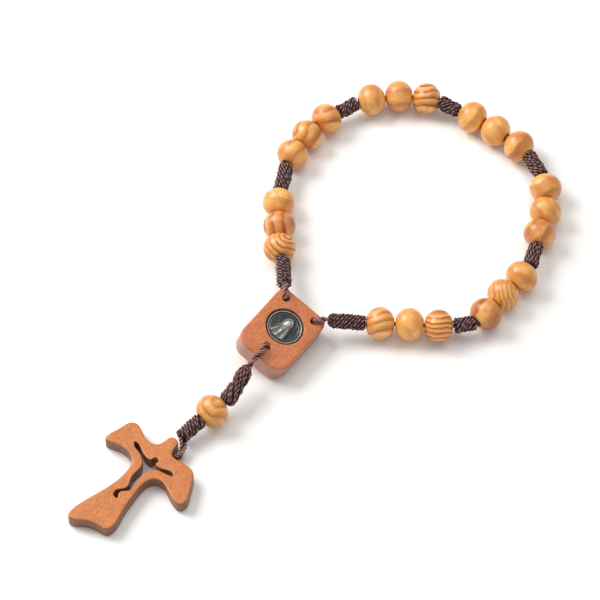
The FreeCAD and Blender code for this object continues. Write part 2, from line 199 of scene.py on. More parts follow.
def shade(colour, factor):
    return tuple(min(1.0, c * factor) for c in colour)


def blend(first, second, share):
    """A colour between two others, with this share of the second."""
    return tuple(a + (b - a) * share for a, b in zip(first, second))


def bead_wood(name, across, spacing, distance, lie_angle, contrast, tone=1.0, phase=0.0, patch=0.0):
    """Varnished pine: pale early wood with red-brown late-wood lines that bend round the pith.

    Lengths are in mm and angles in degrees, as GRAIN lists them."""
    nodes = Nodes(name)
    space = wood_space(nodes, across, distance, lie_angle)
    wander = nodes.add("TexNoise", {"Vector": space, "Scale": 0.30, "Detail": 2.5}).outputs["Color"]
    bent = nodes.add("VectorMath", {0: wander, "Scale": 1.3}, operation="SCALE").outputs[0]
    bent = nodes.add("VectorMath", {0: space, 1: bent}, operation="ADD").outputs[0]
    rings = nodes.add("TexWave", {"Vector": bent, "Scale": RING_SCALE / spacing, "Distortion": 0.5,
                                  "Detail": 2.0, "Detail Scale": 1.5, "Phase Offset": phase},
                      wave_type="RINGS", rings_direction="Z", wave_profile="SAW").outputs["Fac"]
    light = shade(blend(HONEY, PALE, 0.5), tone)
    late = blend(light, RED_BROWN, contrast)
    middle = blend(light, ORANGE, 0.75 * contrast)
    lines = nodes.ramp(rings, [(0.0, light), (0.22, light), (0.55, middle), (0.74, late), (0.88, late),
                               (1.0, light)], "EASE")
    fibre_space = nodes.add("VectorMath", {0: space, 1: (1.0, 1.0, 0.16)}, operation="MULTIPLY").outputs[0]
    fibre = nodes.add("TexNoise", {"Vector": fibre_space, "Scale": 2.2, "Detail": 4.0}).outputs["Fac"]
    fibre_tint = nodes.ramp(fibre, [(0.32, (0.84, 0.70, 0.52)), (0.62, (1.03, 1.04, 1.06))])
    colour = nodes.mix(0.75, lines, fibre_tint, "MULTIPLY")
    blotch_space = nodes.add("VectorMath", {0: space, 1: (1.0, 1.0, 0.45)}, operation="MULTIPLY").outputs[0]
    blotch = nodes.add("TexNoise", {"Vector": blotch_space, "Scale": 0.26, "Detail": 2.5}).outputs["Fac"]
    blotch = nodes.ramp(blotch, [(0.44, (0, 0, 0)), (0.66, (1, 1, 1))])
    weight = nodes.add("Math", {0: blotch, 1: 0.50 + patch}, operation="MULTIPLY").outputs[0]
    colour = nodes.mix(weight, colour, (*shade(ORANGE, tone), 1))
    nodes.set(Base_Color=colour, Roughness=0.42, Coat_Weight=0.45, Coat_Roughness=0.27)
    nodes.bump(fibre, 0.12, 0.00004)
    return nodes.material


def fine_wood(name, light, dark, grain, stretch, roughness, coat, wall):
    """Close-grained stained wood with short dark flecks along its grain, and its own colour on its walls."""
    nodes = Nodes(name)
    space = wood_space(nodes, grain, distance=30.0, lie_angle=0.0)
    stretched = nodes.add("VectorMath", {0: space, 1: (1.0, 1.0, stretch)}, operation="MULTIPLY").outputs[0]
    fleck = nodes.add("TexNoise", {"Vector": stretched, "Scale": 2.2, "Detail": 5.0,
                                   "Roughness": 0.62}).outputs["Fac"]
    cloud = nodes.add("TexNoise", {"Vector": stretched, "Scale": 0.5, "Detail": 3.0}).outputs["Fac"]
    colour = nodes.ramp(fleck, [(0.32, dark), (0.5, blend(dark, light, 0.5)), (0.66, light)])
    tint = nodes.ramp(cloud, [(0.32, (0.86, 0.76, 0.66)), (0.68, (1.06, 1.05, 1.02))])
    colour = nodes.mix(0.8, colour, tint, "MULTIPLY")
    edge = nodes.add("Attribute", attribute_name="wall").outputs["Fac"]
    colour = nodes.mix(edge, colour, nodes.mix(0.6, (*wall, 1), tint, "MULTIPLY"))
    nodes.set(Base_Color=colour, Roughness=roughness, Coat_Weight=coat, Coat_Roughness=0.3)
    nodes.bump(fleck, 0.25, 0.00005)
    return nodes.material


def twine_material():
    """Dark brown waxed twine, with pinkish painted highlights on its high places and painted shade in the
    gaps between its strands.
    """
    nodes = Nodes("brown_twine")
    place = nodes.add("TexCoord").outputs["Object"]
    fibre = nodes.add("TexNoise", {"Vector": place, "Scale": 5200.0, "Detail": 3.0}).outputs["Fac"]
    crown = nodes.add("Attribute", attribute_name="crown").outputs["Fac"]
    # Painted light broken up by the fibres: from dark painted shade in the gaps to a pale pinkish painted
    # highlight on the crowns.
    wear_and_painted_highlight = nodes.add("Math", {0: crown, 1: fibre}, operation="MULTIPLY").outputs[0]
    colour = nodes.ramp(wear_and_painted_highlight, [(0.12, (0.014, 0.008, 0.008)), (0.28, (0.062, 0.027, 0.028)),
                               (0.52, (0.46, 0.220, 0.205))])
    nodes.set(Base_Color=colour, Roughness=0.38, Specular_IOR_Level=0.35, Sheen_Weight=0.06,
              Sheen_Tint=(0.9, 0.6, 0.6, 1))
    nodes.bump(fibre, 0.3, 0.00006)
    return nodes.material


def medal_material():
    """Antique silver: bright worn relief over a dark oxidised ground."""
    nodes = Nodes("antique_silver")
    place = nodes.add("TexCoord").outputs["Object"]
    height = nodes.add("Attribute", attribute_name="relief").outputs["Fac"]
    grime = nodes.add("TexNoise", {"Vector": place, "Scale": 1500.0, "Detail": 4.0}).outputs["Fac"]
    mixed = nodes.add("Math", {0: grime, 1: 0.3, 2: height}, operation="MULTIPLY_ADD").outputs[0]
    colour = nodes.ramp(mixed, [(0.12, (0.032, 0.037, 0.034)), (0.5, (0.11, 0.12, 0.11)),
                                (1.0, (0.56, 0.56, 0.53))])
    nodes.set(Base_Color=colour, Metallic=0.8, Roughness=0.34)
    nodes.bump(grime, 0.12, 0.00004)
    return nodes.material


# ---------------------------------------------------------------- mesh helpers

POINTS_PER_RUN = 12              # on a spline, between two of the points that control it
ENDS_OVER = 3                    # how many points a strand's rounded end takes
END_OPENING = 0.12               # the square of the share of its width that a strand starts with
PLY_SHARE = 0.53                 # a ply's radius over its twine's


def new_piece(name, vertices, faces, material, body, replaces=()):
    """One smooth-shaded mesh as a visible piece of the object."""
    mesh = bpy.data.meshes.new(name)
    mesh.from_pydata([tuple(v) for v in vertices], [], faces)
    mesh.materials.append(material)
    mesh.polygons.foreach_set("use_smooth", [True] * len(mesh.polygons))
    mesh.update()
    piece = bpy.data.objects.new(name, mesh)
    bpy.context.scene.collection.objects.link(piece)
    return settle(piece, body, replaces)


def settle(piece, body, replaces=()):
    """Say what a piece moves with and stands for."""
    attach(piece, body)
    if replaces:
        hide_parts(*replaces)
    return piece


def paint_points(piece, name, values):
    """Store one number for each vertex, for the materials to read."""
    piece.data.attributes.new(name, "FLOAT", "POINT").data.foreach_set("value", values)


def route_points(route):
    """Points along the one smooth spline that a route's points control."""
    data = bpy.data.curves.new("route", "CURVE")
    data.dimensions = "3D"
    spline = data.splines.new("NURBS")
    spline.points.add(len(route) - 1)
    for point, place in zip(spline.points, route):
        point.co = (*place, 1)
    spline.order_u = 3
    spline.use_endpoint_u = True
    spline.resolution_u = POINTS_PER_RUN
    holder = bpy.data.objects.new("route", data)
    mesh = bpy.data.meshes.new_from_object(holder)
    points = [v.co.copy() for v in mesh.vertices]
    bpy.data.objects.remove(holder)
    bpy.data.meshes.remove(mesh)
    return points


def evenly(points, step):
    """The same line with points about one step apart."""
    lengths = [0.0]
    for a, b in zip(points, points[1:]):
        lengths.append(lengths[-1] + (b - a).length)
    count = max(2, round(lengths[-1] / step))
    out, k = [], 0
    for i in range(count + 1):
        wanted = lengths[-1] * i / count
        while k < len(points) - 2 and lengths[k + 1] < wanted:
            k += 1
        part = (wanted - lengths[k]) / max(1e-12, lengths[k + 1] - lengths[k])
        out.append(points[k].lerp(points[k + 1], min(1.0, part)))
    return out


def moving_frames(points):
    """A direction and two sideways axes at each point, carried along without twist."""
    ways = [(points[min(i + 1, len(points) - 1)] - points[max(i - 1, 0)]).normalized()
            for i in range(len(points))]
    side = ways[0].orthogonal().normalized()
    frames = []
    for before, way in zip([ways[0]] + ways, ways):
        side = before.rotation_difference(way) @ side
        side = (side - way * side.dot(way)).normalized()
        frames.append((way, side, way.cross(side)))
    return frames


class Tubes:
    """Collects round strands into one mesh, with closed rounded ends.

    Each vertex's painted light says how far it faces away from the line that its strand winds round: painted
    highlight where it faces out, painted shade where it faces in."""

    def __init__(self, sides=7):
        self.vertices, self.faces, self.crowns, self.sides = [], [], [], sides

    def strand(self, centres, radius, axis_points=None, shades=None):
        """One strand; its radius is one number or a list, and its shades dim its painted highlight point by
        point with painted shade.
        """
        first = len(self.vertices)
        frames = moving_frames(centres)
        last = len(centres) - 1
        for i, (centre, (way, a, b)) in enumerate(zip(centres, frames)):
            width = radius[i] if isinstance(radius, list) else radius
            width *= min(1.0, math.sqrt(min(i, last - i) / ENDS_OVER + END_OPENING))
            axis = axis_points[i] if axis_points else centre
            out = (centre - axis).normalized() if (centre - axis).length > 1e-7 else Vector((0, 0, 1))
            for j in range(self.sides):
                turn = math.tau * j / self.sides
                ray = a * math.cos(turn) + b * math.sin(turn)
                self.vertices.append(centre + ray * width)
                # Painted highlight on the side facing away from the axis, painted shade on the side towards
                # it; a strand without an axis, such as a knot's core, is set dark as painted shade.
                crown = 0.5 + 0.5 * ray.dot(out) if axis_points else 0.1
                self.crowns.append(crown * (shades[i] if shades else 1.0))
        for i in range(last):
            for j in range(self.sides):
                k = (j + 1) % self.sides
                row = first + i * self.sides
                self.faces.append((row + j, row + k, row + self.sides + k, row + self.sides + j))
        self.faces.append(tuple(first + j for j in reversed(range(self.sides))))
        self.faces.append(tuple(first + last * self.sides + j for j in range(self.sides)))

    def piece(self, name, body, replaces=()):
        piece = new_piece(name, self.vertices, self.faces, TWINE, body, replaces)
        paint_points(piece, "crown", self.crowns)
        return piece


def wind(points, offsets, pitch, phase=0.0):
    """Points that wind round a line, at an offset that may change along it."""
    out, travelled = [], 0.0
    frames = moving_frames(points)
    for i, (point, (way, a, b)) in enumerate(zip(points, frames)):
        if i:
            travelled += (point - points[i - 1]).length
        turn = phase + math.tau * travelled / pitch
        offset = offsets[i] if isinstance(offsets, list) else offsets
        out.append(point + (a * math.cos(turn) + b * math.sin(turn)) * offset)
    return out


def two_ply(tubes, points, radius, pitch, axis_points=None):
    """A twine of two plies twisted together along a line."""
    ply = radius * PLY_SHARE
    for start in (0.0, math.pi):
        centres = wind(points, radius - ply, pitch, start)
        # Each ply gets a painted highlight on its outer side and painted shade where the plies meet.
        tubes.strand(centres, ply, axis_points=axis_points or points)


# ---------------------------------------------------------------- the cords

CORD_RADIUS = 0.6 * MM
CORD_PITCH = 2.2                 # along the cord, for one full twist of its two plies
INSIDE_KNOT = 3.5 * MM           # how far each length starts inside the knot before it

# The points that each length of the loop's cord is drawn by: the flexing point where it leaves the knot
# before it, its three beads' middles, and the start of the next knot.
LOOP_ROUTE = [
    [(-10.3, 9.8, 4.9), (-11.1, 13.5, 4.4), (-11.2, 20.5, 4.0), (-11.4, 27.6, 4.0), (-11.1, 31.4, 4.0)],
    [(-9.5, 39.1, 4.0), (-7.9, 42.6, 4.0), (-4.3, 48.7, 4.0), (0.6, 53.9, 4.0), (3.7, 56.1, 4.0)],
    [(8.4, 59.2, 4.0), (12.1, 60.1, 4.0), (19.1, 61.3, 4.0), (26.1, 60.5, 4.0), (29.7, 59.4, 4.0)],
    [(34.3, 56.4, 4.0), (37.6, 54.5, 4.0), (43.3, 50.1, 4.0), (49.0, 45.2, 4.0), (51.4, 42.2, 4.0)],
    [(54.4, 35.7, 4.0), (55.05, 32.0, 4.0), (54.7, 24.8, 4.0), (52.9, 18.0, 4.0), (52.0, 14.3, 4.0)],
    [(50.1, 8.2, 4.0), (47.9, 5.1, 4.0), (43.2, -0.2, 4.0), (38.8, -5.8, 4.0), (35.65, -8.55, 4.0)],
    [(31.1, -9.5, 4.0), (27.3, -9.3, 4.0), (20.3, -8.9, 4.0), (13.2, -8.6, 4.0), (9.4, -8.7, 4.3)],
]
LOOP_START = (-9.95, 0.2, 6.4)   # the first knot's end beside the block
LOOP_END = (0.5, -9.1, 6.2)      # the last knot's end beside the block

# The long knot's top and its end, the bead's middle, the short knot's start, and its end at the cross.
PENDANT_ROUTE = [(-18.3, -22.5, 6.5), (-23.5, -31.3, 4.2), (-26.9, -33.55, 4.0), (-29.7, -36.2, 3.9),
                 (-34.25, -40.4, 3.0)]

FACE_CENTRE = mm(-10.4, -13.0, 7.84)
BLOCK_TURN = Matrix.Rotation(math.radians(-37.15), 3, "Z") @ Matrix.Rotation(math.radians(16.85), 3, "Y")
CROSS_FOOT = mm(-55.1, -63.7, 0)
CROSS_TURN = Matrix.Rotation(math.radians(-41.1), 3, "Z")
LOOP_HOLES = {"left": (-4.4, 7.3), "right": (4.4, 7.3)}
PENDANT_HOLE = (0.0, -5.85)
STOPPER_AT = (-3.2, 0.0)
UNDER_FACE = -2.0                # how far down its hole each eye starts
GROOVE_LEVEL = -5.6              # of the cord's middle in the grooves at the block's back

# Where the cord bends over the block's edges on its way out, from the face's centre.
LEFT_BEND = (-6.2, 9.1, 0.85)
LEFT_DROP = (-7.2, 10.6, -1.2)   # and where it turns up again to the first knot
RIGHT_BEND = (5.8, 8.7, 0.85)
PENDANT_BEND = (-0.05, -9.3, 1.1)

# The eye's way down the cross's stub and into its hole.
CROSS_EYE_ROUTE = [(2.1, 30.8, 2.4), (3.1, 28.9, 1.95), (3.3, 27.3, 1.9), (2.2, 26.35, 1.85),
                   (-0.6, 26.3, 1.85)]


def on_block(x, y, z):
    """A place given in mm from the middle of the block's face."""
    return FACE_CENTRE + BLOCK_TURN @ mm(x, y, z)


def on_cross(x, y, z):
    """A place given in mm from the middle of the cross's foot."""
    return CROSS_FOOT + CROSS_TURN @ mm(x, y, z)


def plain_twine(name, route, radius, pitch, body, nodes, step=0.3):
    """One two-ply twine along a route."""
    points = evenly(route_points(route), step * MM)
    tubes = Tubes()
    two_ply(tubes, points, radius * MM, pitch * MM)
    return tubes.piece(name, body, nodes), points


def loop_cords():
    """Seven lengths of the carrying cord, each from inside one knot through three beads and the next knot."""
    ends = [group[0] for group in LOOP_ROUTE[1:]] + [LOOP_END]
    near_ends = [LOOP_START] + [group[4] for group in LOOP_ROUTE]
    lengths = (0.0331, 0.0309, 0.0305, 0.0329, 0.0316, 0.0302, 0.0343)
    cords = []
    for number, (group, far_end) in enumerate(zip(LOOP_ROUTE, ends), start=1):
        flex = mm(*group[0])
        inside = flex + (mm(*near_ends[number - 1]) - flex).normalized() * INSIDE_KNOT
        route = [inside, *(mm(*p) for p in group), mm(*far_end)]
        piece, points = plain_twine(f"cord_length_{number}", route, CORD_RADIUS / MM, CORD_PITCH,
                                    f"group_{number}", (f"loop_cord_{number}",))
        cords.append((piece, inside, lengths[number - 1], points))
    return cords


def doubled_cord(pieces, route, radius, spread, pitch, ply_pitch, phase):
    """Two twines wound round each other along a route, shared between bodies where the cord bends.

    Each of the pieces is its name, its body, the CAD nodes it stands for and where it stops."""
    line = evenly(route_points(route), 0.2 * MM)
    ply = radius * MM * PLY_SHARE
    strands = []
    for start in (phase, phase + math.pi):
        centre = wind(line, spread * MM, pitch * MM, start)
        for turn in (0.0, math.pi):
            strands.append(wind(centre, radius * MM - ply, ply_pitch * MM, turn))
    first = 0
    for name, body, nodes, stop_at in pieces:
        last = len(line) - 1
        if stop_at is not None:
            last = min(range(len(line)), key=lambda i: (line[i] - stop_at).length)
        part = slice(max(0, first - 1), last + 1)
        tubes = Tubes()
        for strand in strands:
            tubes.strand(strand[part], ply, axis_points=line[part])
        tubes.piece(name, body, nodes)
        first = last


def loop_eyes():
    """The eyes out of the block's two loop holes, and the neck that goes on from the left one."""
    left, right = LOOP_HOLES["left"], LOOP_HOLES["right"]
    start = mm(*LOOP_START)
    way = (mm(*LOOP_ROUTE[0][0]) - start).normalized()
    left_bend = on_block(*LEFT_BEND)
    doubled_cord([("left_eye", "block", ("left_loop_eye",), left_bend),
                  ("left_neck", "first_knot", ("left_loop_neck",), None)],
                 [on_block(*left, UNDER_FACE), on_block(*left, 0.75), left_bend, on_block(*LEFT_DROP),
                  start - way * 0.65 * MM, start + way * MM],
                 radius=0.44, spread=0.33, pitch=4.6, ply_pitch=1.6, phase=0.5)
    doubled_cord([("right_eye", "block", ("right_loop_eye",), None)],
                 [on_block(*right, UNDER_FACE), on_block(*right, 0.8), on_block(*RIGHT_BEND), mm(*LOOP_END)],
                 radius=0.48, spread=0.37, pitch=4.6, ply_pitch=1.6, phase=1.9)


def pendant_cords():
    """The eye out of the block's third hole with its neck, the eye into the cross, and the cord between."""
    tip, neck, middle, collar, end = (mm(*p) for p in PENDANT_ROUTE)
    bend = on_block(*PENDANT_BEND)
    doubled_cord([("pendant_eye_strands", "block", ("pendant_eye",), bend),
                  ("pendant_neck_strands", "pendant_neck", ("pendant_neck",), None)],
                 [on_block(*PENDANT_HOLE, UNDER_FACE), on_block(*PENDANT_HOLE, 1.05), bend, tip,
                  tip + (neck - tip).normalized() * 0.5 * MM],
                 radius=0.48, spread=0.40, pitch=5.6, ply_pitch=1.9, phase=0.6)
    doubled_cord([("cross_eye_strands", "pendant", ("cross_eye",), None)],
                 [end + (collar - end).normalized() * 1.5 * MM, end,
                  *(on_cross(*p) for p in CROSS_EYE_ROUTE)],
                 radius=0.52, spread=0.40, pitch=9.0, ply_pitch=1.8, phase=1.2)
    inside = neck + (tip - neck).normalized() * 1.5 * MM
    plain_twine("pendant_cord_length", [inside, neck, middle, collar, end.lerp(collar, 0.3)],
                CORD_RADIUS / MM, CORD_PITCH, "pendant", ("pendant_cord",))


def back_runs():
    """The runs of cord in the block's grooves, from its holes to the stopper knot."""
    stopper_x, stopper_y = STOPPER_AT
    for name, (x, y) in {**LOOP_HOLES, "pendant": PENDANT_HOLE}.items():
        away = Vector((x - stopper_x, y - stopper_y)).normalized() * 2.3
        near = on_block(stopper_x + away.x, stopper_y + away.y, GROOVE_LEVEL)
        plain_twine(name + "_back_run", [on_block(x, y, UNDER_FACE), on_block(x, y, GROOVE_LEVEL), near],
                    0.5, 1.9, "block", (name + "_back_cord",), step=0.2)


def stopper_knot():
    """A flattened ball of twine, in three rounds of wraps started a third of a half turn apart."""
    under = on_block(*STOPPER_AT, -6.15)
    centre = Vector((under.x, under.y, 1.85 * MM))
    width, height, wraps, count = 1.85 * MM, 1.42 * MM, 2.6, 149
    tubes = Tubes()
    for tilt in (0.0, 1.05, 2.1):
        points = []
        for i in range(count + 1):
            climb = -1 + 2 * i / count
            turn = math.tau * wraps * i / count + tilt
            out = width * math.sqrt(1 - 0.96 * climb * climb)
            points.append(centre + Vector((out * math.cos(turn), out * math.sin(turn), height * climb)))
        two_ply(tubes, points, 0.42 * MM, 1.8 * MM, axis_points=[centre] * len(points))
    tubes.piece("stopper_wraps", "block", ("stopper_knot",))


# ---------------------------------------------------------------- the knots

# Sizes in mm.
KNOT_RADIUS = 1.98
KNOT_CORE = 1.66                 # what shows between the strands, set dark as painted shade
PLY_RADIUS = 0.20
PLY_OFFSET = 0.18                # a ply's middle from its strand's
STRAND_GAP = 0.68                # between the middles of neighbouring strands
PLY_LENGTH = 2.8                 # along a strand, for one full twist of its two plies
AT_BEAD = 3.40                   # from a bead's middle to the knot that is pulled against it
AT_FLEX = 3.68                   # and to the knot beyond a flexing point
CLIMBS = (44, 58, 46, 44, 52, 70, 46, 42)   # each knot's wraps, in degrees from square across it
CORE_RINGS = 24


def even_lobe(s):
    """A knot's outline: full in the middle, drawn in at both ends."""
    return min(1.0, 0.82 + 3.2 * s, 0.82 + 3.2 * (1 - s))


def tied_end(s):
    """The same where a knot narrows to the cord that comes out of it."""
    return min(1.0, 0.60 + 2.8 * s, 0.82 + 3.2 * (1 - s))


def closed_end(s):
    """The same with a rounded far end that lies free."""
    return min(1.0, 0.82 + 3.2 * s, 0.48 + 5.0 * (1 - s))


def two_lobes(s):
    """The long knot's outline: a waist near its middle, and narrow where the neck goes in."""
    waist = 0.20 * math.exp(-((s - 0.47) / 0.06) ** 2)
    return min(0.94 + 0.16 * s, 0.50 + 3.0 * s, 0.80 + 3.0 * (1 - s)) - waist


def wrapped_knot(name, body, node, start, end, outline=even_lobe, bow=0.0, climb=44.0, before=0.0, after=0.0):
    """Two-ply twine laid side by side round the carrying cord, climbing left-handed at an angle in degrees.

    The knot bows sideways by `bow` mm, and goes on `before` its start and `after` its end by these mm."""
    start, end = mm(*start), mm(*end)
    climb = math.radians(climb)
    way = (end - start).normalized()
    side = way.cross(Vector((0, 0, 1))).normalized()
    up = side.cross(way)
    low, high = PLY_RADIUS - before, (end - start).length / MM - PLY_RADIUS + after
    around = math.tau * (KNOT_RADIUS - PLY_OFFSET - PLY_RADIUS)
    starts = max(1, round(around * math.sin(climb) / STRAND_GAP))
    turns = (high - low) / (around * math.tan(climb))
    twists = around / math.cos(climb) / PLY_LENGTH
    count = max(60, int(turns * twists * 8))     # at least eight points for each twist
    tubes = Tubes(6)

    def middle_at(s):
        """The knot's own middle line, from 0 at its start to 1 at its end."""
        return start + way * ((low + (high - low) * s) * MM) + side * (bow * MM * math.sin(math.pi * s))

    for k in range(starts):
        phase, rough_phase = random.uniform(0, math.tau), random.uniform(0, math.tau)
        lift, aside = random.uniform(-0.04, 0.04), random.uniform(-0.12, 0.12)
        looser = random.uniform(0.82, 1.2)
        plies, axis, shades = ([], []), [], ([], [])
        for i in range(count + 1):
            s = i / count
            sway = 0.15 * math.sin(9 * s + rough_phase)
            turn = math.tau * (turns * s + (k + aside + sway) / starts)
            rough = lift + 0.03 * math.sin(7 * s + rough_phase)
            distance = (outline(s) + rough) * KNOT_RADIUS - PLY_OFFSET - PLY_RADIUS
            middle = middle_at(s)
            out = side * math.cos(turn) + up * math.sin(turn)
            across = way * math.cos(climb) - math.sin(climb) * way.cross(out)
            axis.append(middle)
            for ply, shade_row, opposite in zip(plies, shades, (0.0, math.pi)):
                twist = phase + opposite + math.tau * turns * s * twists * looser
                # Painted shade along each ply: darker where its twist tucks it in, so that its painted
                # highlight shows as slanting dashes.
                shade_row.append(0.62 + 0.38 * math.cos(twist))
                ply.append(middle + (out * (distance + PLY_OFFSET * math.cos(twist))
                                     - across * (PLY_OFFSET * math.sin(twist))) * MM)
        for ply, shade_row in zip(plies, shades):
            tubes.strand(ply, PLY_RADIUS * MM, axis, shade_row)
    # The core has no axis of its own, so it is coloured as dark painted shade between the strands.
    along = [i / CORE_RINGS for i in range(CORE_RINGS + 1)]
    tubes.strand([middle_at(s) for s in along], [outline(s) * KNOT_CORE * MM for s in along])
    return tubes.piece(name, body, (node,))


def reach(place, bead, wanted):
    """How far a knot's end at a place goes on towards a bead's middle, to stop at the wanted distance."""
    return (Vector(bead) - Vector(place)).length - wanted


def make_knots():
    first = LOOP_ROUTE[0]
    wrapped_knot("knot_1", "first_knot", "loop_knot_1", LOOP_START, first[0], tied_end, climb=CLIMBS[0],
                 after=reach(first[0], first[1], AT_FLEX))
    ends = [group[0] for group in LOOP_ROUTE[1:]] + [LOOP_END]
    for number, (group, far_end) in enumerate(zip(LOOP_ROUTE, ends), start=1):
        last = number == len(LOOP_ROUTE)
        outline = (lambda s: tied_end(1 - s)) if last else even_lobe
        after = 0.0 if last else reach(far_end, LOOP_ROUTE[number][1], AT_FLEX)
        wrapped_knot(f"knot_{number + 1}", f"group_{number}", f"loop_knot_{number + 1}", group[4], far_end,
                     outline, random.uniform(-0.2, 0.2), CLIMBS[number],
                     reach(group[4], group[3], AT_BEAD), after)
    tip, neck, middle, collar, end = PENDANT_ROUTE
    wrapped_knot("upper_pendant_knot", "upper_knot", "pendant_upper_knot", tip, neck, two_lobes,
                 climb=70, after=reach(neck, middle, AT_FLEX))
    wrapped_knot("lower_pendant_knot", "pendant", "pendant_lower_knot", collar, end, closed_end, climb=30,
                 before=reach(collar, middle, AT_BEAD), after=0.35)


# ---------------------------------------------------------------- the beads

BEAD_RADIUS, BEAD_AXIAL, BEAD_HOLE = 3.99, 3.61, 1.12   # across, along the hole, and the hole's radius
PROFILE_STEPS, BEAD_SIDES = 32, 56


def bead_profile():
    """Half outline of a bead, closed through its hole: distance from the axis, height along it."""
    outer = []
    mouth = math.asin((BEAD_HOLE + 0.28) / BEAD_RADIUS)
    for i in range(PROFILE_STEPS + 1):
        angle = mouth + (math.pi - 2 * mouth) * i / PROFILE_STEPS
        outer.append((BEAD_RADIUS * math.sin(angle), BEAD_AXIAL * math.cos(angle)))
    top = outer[0][1]
    lip = [(BEAD_HOLE + 0.16, top + 0.01), (BEAD_HOLE + 0.05, top - 0.06), (BEAD_HOLE, top - 0.22)]
    bottom = [(r, -z) for r, z in reversed(lip)]
    inner = [(BEAD_HOLE, -top * k) for k in (0.5, 0.0, -0.5)]
    return outer + bottom + inner + lip[::-1]


def make_bead(name, body, node, before, centre, after, material):
    """A turned bead with a softened hole, its mesh built round its own middle."""
    axis = (mm(*after) - mm(*before)).normalized()
    side = axis.orthogonal().normalized()
    other = axis.cross(side)
    profile = bead_profile()
    dents = [(random.uniform(0, math.tau), random.uniform(-0.02, 0.02)) for _ in range(3)]
    vertices, faces = [], []
    for r, z in profile:
        for j in range(BEAD_SIDES):
            turn = math.tau * j / BEAD_SIDES
            bulge = 1 + sum(d * math.cos((k + 2) * turn + p) for k, (p, d) in enumerate(dents)) * 0.25
            vertices.append((side * math.cos(turn) * r * bulge + other * math.sin(turn) * r * bulge
                             + axis * z) * MM)
    rows = len(profile)
    for i in range(rows):
        row, after_row = i * BEAD_SIDES, (i + 1) % rows * BEAD_SIDES
        for j in range(BEAD_SIDES):
            k = (j + 1) % BEAD_SIDES
            faces.append((row + j, after_row + j, after_row + k, row + k))
    piece = new_piece(name, vertices, faces, material, body, (node,))
    piece.location = mm(*centre)


# For each bead, the pendant's last: the direction away from the pith as seen, the rings' spacing, the
# pith's distance and how far it is turned towards the viewer, the rings' contrast, the wood's tone,
# where the rings start, and how strong its darker patch is.
GRAIN = [
    (212, 1.25, 2.7, 74, 0.85, 1.03, 0.4, 0.0), (4, 2.5, 14, 8, 1.00, 0.93, 2.2, 0.25),
    (60, 3.6, 6, 40, 0.40, 1.05, 3.0, 0.1), (300, 3.4, 7, 50, 0.55, 0.97, 1.0, 0.1),
    (315, 2.6, 4.6, 55, 0.75, 0.99, 4.0, 0.15), (262, 2.9, 5.0, 55, 0.80, 0.99, 1.8, 0.2),
    (5, 3.4, 20, 5, 0.30, 0.98, 0.8, 0.3), (92, 3.8, 18, 5, 0.60, 0.99, 2.9, 0.15),
    (256, 1.7, 5.2, 50, 1.00, 1.01, 5.1, 0.0), (130, 3.0, 9, 40, 0.40, 1.05, 3.6, 0.05),
    (40, 3.6, 15, 20, 0.30, 1.02, 1.2, 0.05), (125, 4.2, 4.8, 60, 0.75, 0.94, 2.2, 0.4),
    (100, 3.0, 4.6, 60, 0.50, 0.99, 2.0, 0.2), (20, 3.2, 17, 20, 0.40, 0.98, 4.4, 0.25),
    (135, 3.8, 4.8, 60, 0.70, 0.94, 3.3, 0.4), (60, 3.4, 12, 30, 0.45, 0.99, 5.5, 0.25),
    (172, 1.05, 4.4, 60, 0.60, 1.02, 1.6, 0.0), (320, 5.5, 9, 20, 0.95, 0.92, 2.6, 0.6),
    (88, 1.2, 16, 6, 1.00, 1.03, 0.0, 0.0), (30, 3.8, 20, 10, 0.25, 1.03, 3.9, 0.0),
    (272, 1.9, 6.5, 40, 0.70, 1.05, 4.8, 0.0), (205, 2.3, 1.9, 76, 0.65, 1.02, 0.9, 0.05),
]


def grain_material(number):
    """The wood of one bead, from its row in GRAIN."""
    angle, *grain = GRAIN[number - 1]
    turn = math.radians(angle)
    across = RIGHT * math.cos(turn) + UP * math.sin(turn)
    return bead_wood(f"pine_{number:02d}", across, *grain)


def make_beads():
    for number, group in enumerate(LOOP_ROUTE, start=1):
        for place in (1, 2, 3):
            index = 3 * number - 3 + place
            make_bead(f"bead_{index:02d}", f"loop_bead_{index:02d}", f"loop_bead_{index:02d}",
                      group[place - 1], group[place], group[place + 1], grain_material(index))
    _, neck, middle, collar, _ = PENDANT_ROUTE
    make_bead("bead_pendant", "pendant_bead", "pendant_bead", neck, middle, collar, grain_material(22))


# ---------------------------------------------------------------- block, medal and cross

VOXEL = 0.13 * MM
SANDED, ROUNDED = 5, 22          # rounds of smoothing: an edge just broken, and one well rounded
CUT_OUT_EDGE = 4                 # and round the cut-out, whose thin shapes have to stay


def copy_of(node, name):
    """A new object with its own copy of a CAD node's mesh."""
    piece = bpy.data.objects.new(name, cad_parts[node].data.copy())
    bpy.context.scene.collection.objects.link(piece)
    piece.data.materials.clear()
    return piece


def remesh(piece):
    """Give a piece an even fine mesh in place of the CAD one's long triangles."""
    remesher = piece.modifiers.new("voxels", "REMESH")
    remesher.mode = "VOXEL"
    remesher.voxel_size = VOXEL
    graph = bpy.context.evaluated_depsgraph_get()
    mesh = bpy.data.meshes.new_from_object(piece.evaluated_get(graph))
    piece.modifiers.clear()
    piece.data = mesh


def soften(piece, rounds_at):
    """Smooth a fine mesh like sanding: each vertex for as many rounds as its place asks."""
    mesh = bmesh.new()
    mesh.from_mesh(piece.data)
    wanted = [rounds_at(v.co) for v in mesh.verts]
    for done in range(max(wanted)):
        moving = [v for v, rounds in zip(mesh.verts, wanted) if rounds > done]
        bmesh.ops.smooth_vert(mesh, verts=moving, factor=0.5, use_axis_x=True, use_axis_y=True,
                              use_axis_z=True)
    mesh.to_mesh(piece.data)
    mesh.free()
    piece.data.polygons.foreach_set("use_smooth", [True] * len(piece.data.polygons))


